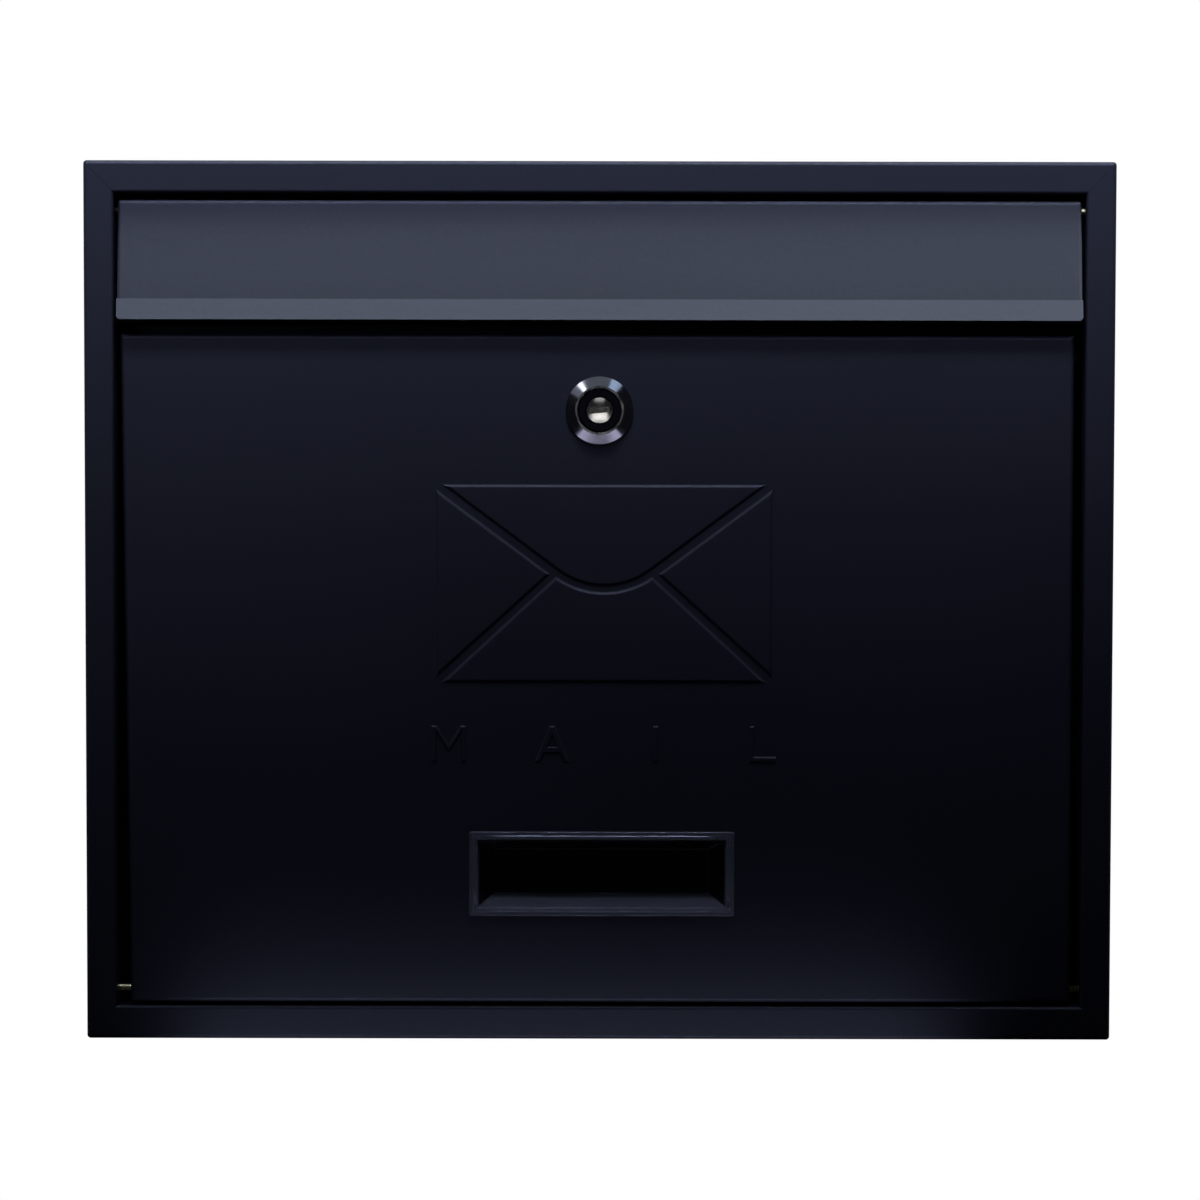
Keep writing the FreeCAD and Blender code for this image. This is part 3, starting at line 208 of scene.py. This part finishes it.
def brushed(name, dark, light, tarnish, roughness, grain_scale, turn):
    """Brushed or rolled metal with a tarnish that gathers in patches."""
    s = Shader(name)
    grain = s.noise(240, 3, 0.6, s.stretch(grain_scale, turn))
    patch = s.noise(180, 4, 0.65)
    worn = s.edges(0.4 * MM)
    base = s.blend(s.spread(grain, 0, 1), dark + (1,), light + (1,))
    base = s.blend(s.spread(patch, 0, 0.55, 0.48, 0.72), base, tarnish + (1,))
    base = s.blend(s.sum(worn, 0.35, "MULTIPLY"), base, light + (1,))
    gloss = s.sum(s.spread(grain, -0.06, 0.06), s.spread(patch, 0, 0.12, 0.45, 0.75))
    s.set(metallic=1.0, base_color=base, roughness=s.sum(gloss, roughness),
          normal=s.bump(grain, 0.01 * MM, 0.5))
    return s.material


def zinc_plate():
    """Bright zinc plating with a fine crystalline spangle."""
    s = Shader("zinc_plate")
    flake = s.cells(700)
    grain = s.noise(1800, 3, 0.6)
    patch = s.noise(130, 4, 0.65)
    worn = s.edges(0.4 * MM)
    base = s.blend(s.spread(flake, 0, 1, 0.1, 0.9), (0.44, 0.45, 0.47, 1), (0.62, 0.63, 0.65, 1))
    base = s.blend(s.spread(patch, 0, 0.5, 0.5, 0.75), base, (0.36, 0.36, 0.37, 1))
    base = s.blend(s.sum(worn, 0.4, "MULTIPLY"), base, (0.74, 0.75, 0.76, 1))
    gloss = s.sum(s.spread(flake, -0.07, 0.07, 0.1, 0.9), s.spread(grain, -0.03, 0.03))
    s.set(metallic=1.0, base_color=base, roughness=s.sum(gloss, 0.34),
          normal=s.bump(grain, 0.004 * MM, 0.5))
    return s.material


def clear_plastic():
    """Clear moulded plastic: slightly milky in its rim, scuffed at the edges, with a faint ripple
    and haze. Near the front, faces that look up are made milkier and brighter, as painted light from
    above."""
    s = Shader("clear_moulding")
    ripple = s.noise(40, 2, 0.5)
    haze = s.noise(500, 4, 0.6)
    worn = s.edges(0.5 * MM)
    depth = s.parts(s.place)[1]
    rim_front, rim_back = -92.2 * MM, -91.8 * MM
    ledge_front, ledge_back = -85.0 * MM, -84.3 * MM
    rim = s.spread(depth, 1.0, 0.0, rim_front, rim_back)
    # Painted light: faces that look up, forward of the ledge depth, are made milkier so that they
    # show brighter, as if lit from above.
    ledge_painted_light = s.sum(s.spread(depth, 0.8, 0.0, ledge_front, ledge_back),
                  s.spread(s.parts(s.facing)[2], 0.0, 1.0, 0.5, 0.9), "MULTIPLY")
    # The rim's milkiness is the plastic's own; the ledge's milkiness is painted light.
    rim_and_painted_ledge_light = s.sum(rim, ledge_painted_light, "MAXIMUM")
    milk_and_painted_light = s.sum(s.sum(rim_and_painted_ledge_light, s.spread(haze, 0.08, 0.12), "MULTIPLY"),
                 s.sum(worn, s.spread(haze, 0.06, 0.10), "MULTIPLY"))
    s.set(ior=1.49,
          base_color=s.blend(s.spread(haze, 0, 1), (0.86, 0.87, 0.93, 1), (0.95, 0.96, 0.99, 1)),
          transmission_weight=s.spread(milk_and_painted_light, 1.0, 0.0, 0.0, 1.0),
          roughness=s.sum(s.spread(haze, 0.02, 0.06), s.sum(worn, 0.10, "MULTIPLY")),
          normal=s.bump(ripple, 0.008 * MM, 0.4))
    return s.material


def paint(node, material):
    """Give every slot of a carried-over node the finished material."""
    data = nodes[node].data
    data.materials.clear()
    data.materials.append(material)


INK = (0.0058, 0.0054, 0.0110)
FINISHES = {
    "casing_coat": powder_coat("casing_coat", INK, (0.030, 0.031, 0.036), 0.62, (0, 0, 0)),
    "flap_coat": powder_coat("flap_coat", INK, (0.034, 0.035, 0.041), 0.62, (0.7, 0, 0.3)),
    "door_coat": powder_coat("door_coat", INK, (0.030, 0.031, 0.036), 0.62, (0.3, 0.5, 0)),
    "chrome": chrome(),
    "plug": plug_metal(),
    "brass": brushed("wafer_brass", (0.52, 0.36, 0.13), (0.76, 0.58, 0.26),
                     (0.30, 0.19, 0.08), 0.30, (1, 1, 9), (0, 0.4, 0)),
    "pin": brushed("pin_brass", (0.52, 0.44, 0.18), (0.80, 0.72, 0.36),
                   (0.34, 0.28, 0.13), 0.30, (8, 1, 1), (0, 0, 0)),
    "zinc": zinc_plate(),
    "clear": clear_plastic(),
}

USES = {
    "casing_coat": ("casing_wrap", "back_panel", "cross_rail"),
    "flap_coat": ("flap_panel",),
    "door_coat": ("door_panel",),
    "clear": ("name_window",),
    "chrome": ("lock_body",),
    "plug": ("lock_plug",),
    "brass": ("lock_wafers",),
    "zinc": ("lock_stop_washer", "lock_cam", "lock_cam_washer", "lock_cam_screw",
             "lock_nut_washer", "lock_nut", "pin_rings"),
    "pin": ("door_pin_left", "door_pin_right", "flap_pin_left", "flap_pin_right"),
}
for finish, users in USES.items():
    for user in users:
        paint(user, FINISHES[finish])

# ------------------------------------------------------------------ stage

FLOOR_HEIGHT = -1.3


def pale_floor():
    """A plain pale floor, well below the hanging box. It takes no part in its light."""
    data = bpy.data.meshes.new("floor")
    reach = 3.0
    data.from_pydata([(-reach, -reach, FLOOR_HEIGHT), (reach, -reach, FLOOR_HEIGHT),
                      (reach, reach, FLOOR_HEIGHT), (-reach, reach, FLOOR_HEIGHT)],
                     [], [(0, 1, 2, 3)])
    floor = bpy.data.objects.new("floor", data)
    bpy.context.scene.collection.objects.link(floor)
    s = Shader("pale_floor")
    s.set(base_color=(0, 0, 0, 1), roughness=1.0, specular_ior_level=0.0,
          emission_color=(1, 1, 1, 1), emission_strength=1.0)
    data.materials.append(s.material)
    floor.visible_diffuse = False
    floor.visible_glossy = False
    floor.visible_transmission = False


def white_room(reflected):
    """White for the camera, and a dim grey for what the object reflects."""
    world = bpy.data.worlds.new("room")
    bpy.context.scene.world = world
    world.use_nodes = True
    tree = world.node_tree
    seen = tree.nodes["Background"]
    seen.inputs["Color"].default_value = (1, 1, 1, 1)
    dim = tree.nodes.new("ShaderNodeBackground")
    dim.inputs["Color"].default_value = reflected + (1,)
    ray = tree.nodes.new("ShaderNodeLightPath")
    mix = tree.nodes.new("ShaderNodeMixShader")
    tree.links.new(ray.outputs["Is Camera Ray"], mix.inputs[0])
    tree.links.new(dim.outputs[0], mix.inputs[1])
    tree.links.new(seen.outputs[0], mix.inputs[2])
    tree.links.new(mix.outputs[0], tree.nodes["World Output"].inputs["Surface"])


def soft_light(name, place, target, size, power, tint, spread=180, only=()):
    """An area light of a power in watts. spread narrows its beam, as a grid does, and
    only names the nodes that it lights, if not all."""
    data = bpy.data.lights.new(name, "AREA")
    data.shape = "RECTANGLE"
    data.size, data.size_y = size
    data.energy = power
    data.color = tint
    data.spread = math.radians(spread)
    lamp = bpy.data.objects.new(name, data)
    lamp.location = place
    lamp.rotation_euler = (Vector(target) - Vector(place)).to_track_quat("-Z", "Y").to_euler()
    lamp.visible_camera = False
    bpy.context.scene.collection.objects.link(lamp)
    if only:
        lit = bpy.data.collections.new(name + "_lit")
        for node in only:
            lit.objects.link(nodes[node])
        lamp.light_linking.receiver_collection = lit


# Groups of nodes for light linking. The banks leave out the lock and the shaded pins,
# whose gaps are dark in the photograph.
LOCK = ("lock_body", "lock_plug")
FLAP = ("flap_panel",)
SHADED = ("flap_pin_left", "door_pin_right")
OTHERS = tuple(node for node in nodes if node not in LOCK + SHADED)

# Tints of the banks, of the washes on the flap and of the room.
BLUE = (0.58, 0.667, 1.0)
COOL = (0.80, 0.934, 1.0)
ROOM = (0.79, 0.846, 1.0)

BANK_CENTRE = 0.10
FLAP_MIDDLE = (0, FRONT, 0.14)
FLAP_LOW = (0, -0.095, 0.13)
LOCK_FACE = (0, -0.095, 0.068)


def light_coat():
    """Narrow banks above the front, low to high, and weak fills for the lower border
    and the left."""
    for name, rise, reach, power, spread in (("bank_low", 35, 0.32, 0.135, 70),
                                             ("bank_front", 50, 0.32, 0.102, 40),
                                             ("bank_high", 65, 0.32, 0.345, 40),
                                             ("bank_top", 80, 0.20, 0.0297, 40)):
        angle = math.radians(rise)
        place = (0, FRONT - reach * math.cos(angle), BANK_CENTRE + reach * math.sin(angle))
        soft_light(name, place, FLAP_MIDDLE, (1, 0.05), power, BLUE, spread, OTHERS)
    soft_light("foot", (-0.012, -0.14, -0.19), (-0.012, FRONT, -0.15), (0.27, 0.03),
               0.0182, BLUE, 60)
    soft_light("fill_left", (-0.4, -0.6, 0.1), (-0.12, FRONT, 0), (0.2, 0.2), 0.0168, BLUE, 60)


def light_flap():
    """Light that runs down the flap and catches its lip."""
    for name, out, power in (("wash_near", -0.085, 3.27), ("wash_mid", -0.100, 0.604),
                             ("wash_far", -0.120, 0.483)):
        soft_light(name, (0, out, 0.6), FLAP_LOW, (0.8, 0.03), power, COOL, 60, FLAP)
    soft_light("wash_right", (0.5, -0.11, 0.5), FLAP_LOW, (0.2, 0.03), 2.04, COOL, 90, FLAP)


def light_room():
    """The room beside, behind and above the box."""
    for side in (-1, 1):
        soft_light("flank_%d" % side, (side * 1.1, 0.10, 0.45), (side * 0.18, -0.04, 0),
                   (0.6, 0.6), 1.65, ROOM)
        soft_light("rear_%d" % side, (side * 0.5, 1.1, 0.5), (0, 0, 0), (0.7, 0.5), 3.8, ROOM)
    soft_light("overhead", (0, 0.05, 1.1), (0, -0.04, 0.15), (0.8, 0.2), 0.78, (0.77, 0.846, 1.0), 60)


def light_lock():
    """Cards that only the lock's plating shows: name, place, size, power and tint."""
    cards = (("card_low", (0, -0.42, -0.55), (1.1, 0.20), 0.45, (0.756, 0.733, 1.0)),
             ("card_left", (-0.44, -0.40, 0.66), (0.13, 0.13), 0.11, (0.909, 0.909, 1.0)),
             ("card_glow", (-0.50, -0.40, 0.58), (0.40, 0.34), 0.075, (0.733, 0.80, 1.0)),
             ("card_top", (0, -0.40, 0.72), (0.90, 0.26), 0.084, (0.738, 0.833, 1.0)),
             ("card_right", (0.36, -0.40, 0.68), (0.36, 0.22), 0.145, (0.552, 0.724, 1.0)),
             ("card_plug", (0, -1.0, -0.15), (0.52, 0.26), 0.60, (1.0, 1.0, 1.0)),
             ("card_brow", (0, -1.0, 0.42), (0.30, 0.10), 0.072, (0.972, 0.972, 1.0)))
    for name, place, size, power, tint in cards:
        soft_light(name, place, LOCK_FACE, size, power, tint, only=LOCK)


pale_floor()
white_room(reflected=(0.0040, 0.0042, 0.0060))
light_coat()
light_flap()
light_room()
light_lock()

# ------------------------------------------------------------------ camera

camera_data = bpy.data.cameras.new("camera")
camera_data.lens = 127.93
camera_data.sensor_width = 36
camera_data.clip_start = 0.05
camera_data.clip_end = 50
camera = bpy.data.objects.new("camera", camera_data)
camera.location = (0, FRONT - 1.5, 0.086)
aim = Vector((0.3 * MM, FRONT, 0.95 * MM)) - camera.location
camera.rotation_euler = (aim.to_track_quat("-Z", "Y").to_matrix()
                         @ Matrix.Rotation(math.radians(0.11), 3, "Z")).to_euler()
bpy.context.scene.collection.objects.link(camera)
bpy.context.scene.camera = camera
bpy.context.scene.view_settings.view_transform = "Standard"
